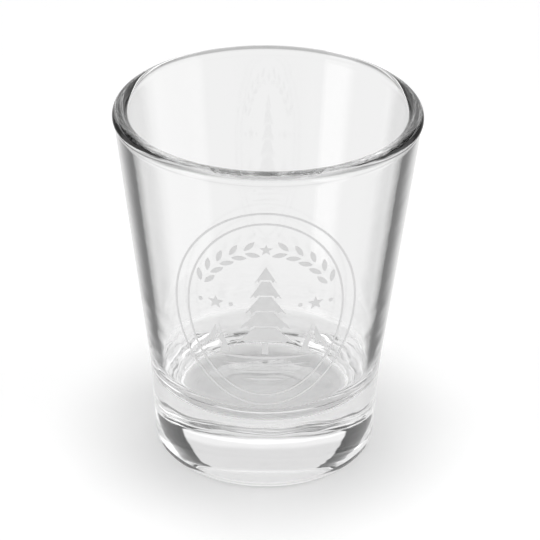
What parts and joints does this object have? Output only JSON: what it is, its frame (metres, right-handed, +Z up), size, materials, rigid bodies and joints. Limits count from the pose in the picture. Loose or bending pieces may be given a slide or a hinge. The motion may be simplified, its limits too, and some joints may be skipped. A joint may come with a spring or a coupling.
{
  "type": "shot glass",
  "caption": "Thick-based tapered shot glass with a rounded rim bead and a frosted badge of a tree, peaks and water on the front of its wall.",
  "frame": {"origin": "middle of the foot, on the plane it rests on", "axes": "+Z up through the mouth, along the glass's axis; -Y out through the badge on the front"},
  "size_m": [0.0488, 0.0488, 0.06],
  "materials": {
    "clear_glass": "fire-polished, clear",
    "frost_enamel": "matt, frosted"
  },
  "bodies": {
    "root": {"glass": "clear_glass", "badge_outer_oval": "frost_enamel", "badge_inner_oval": "frost_enamel", "badge_left_garland": "frost_enamel", "badge_right_garland": "frost_enamel", "badge_crown_star": "frost_enamel", "badge_left_star": "frost_enamel", "badge_right_star": "frost_enamel", "badge_side_dots": "frost_enamel", "badge_pine_tree": "frost_enamel", "badge_left_peak": "frost_enamel", "badge_right_peak": "frost_enamel", "badge_lake": "frost_enamel"}
  },
  "joints": []
}
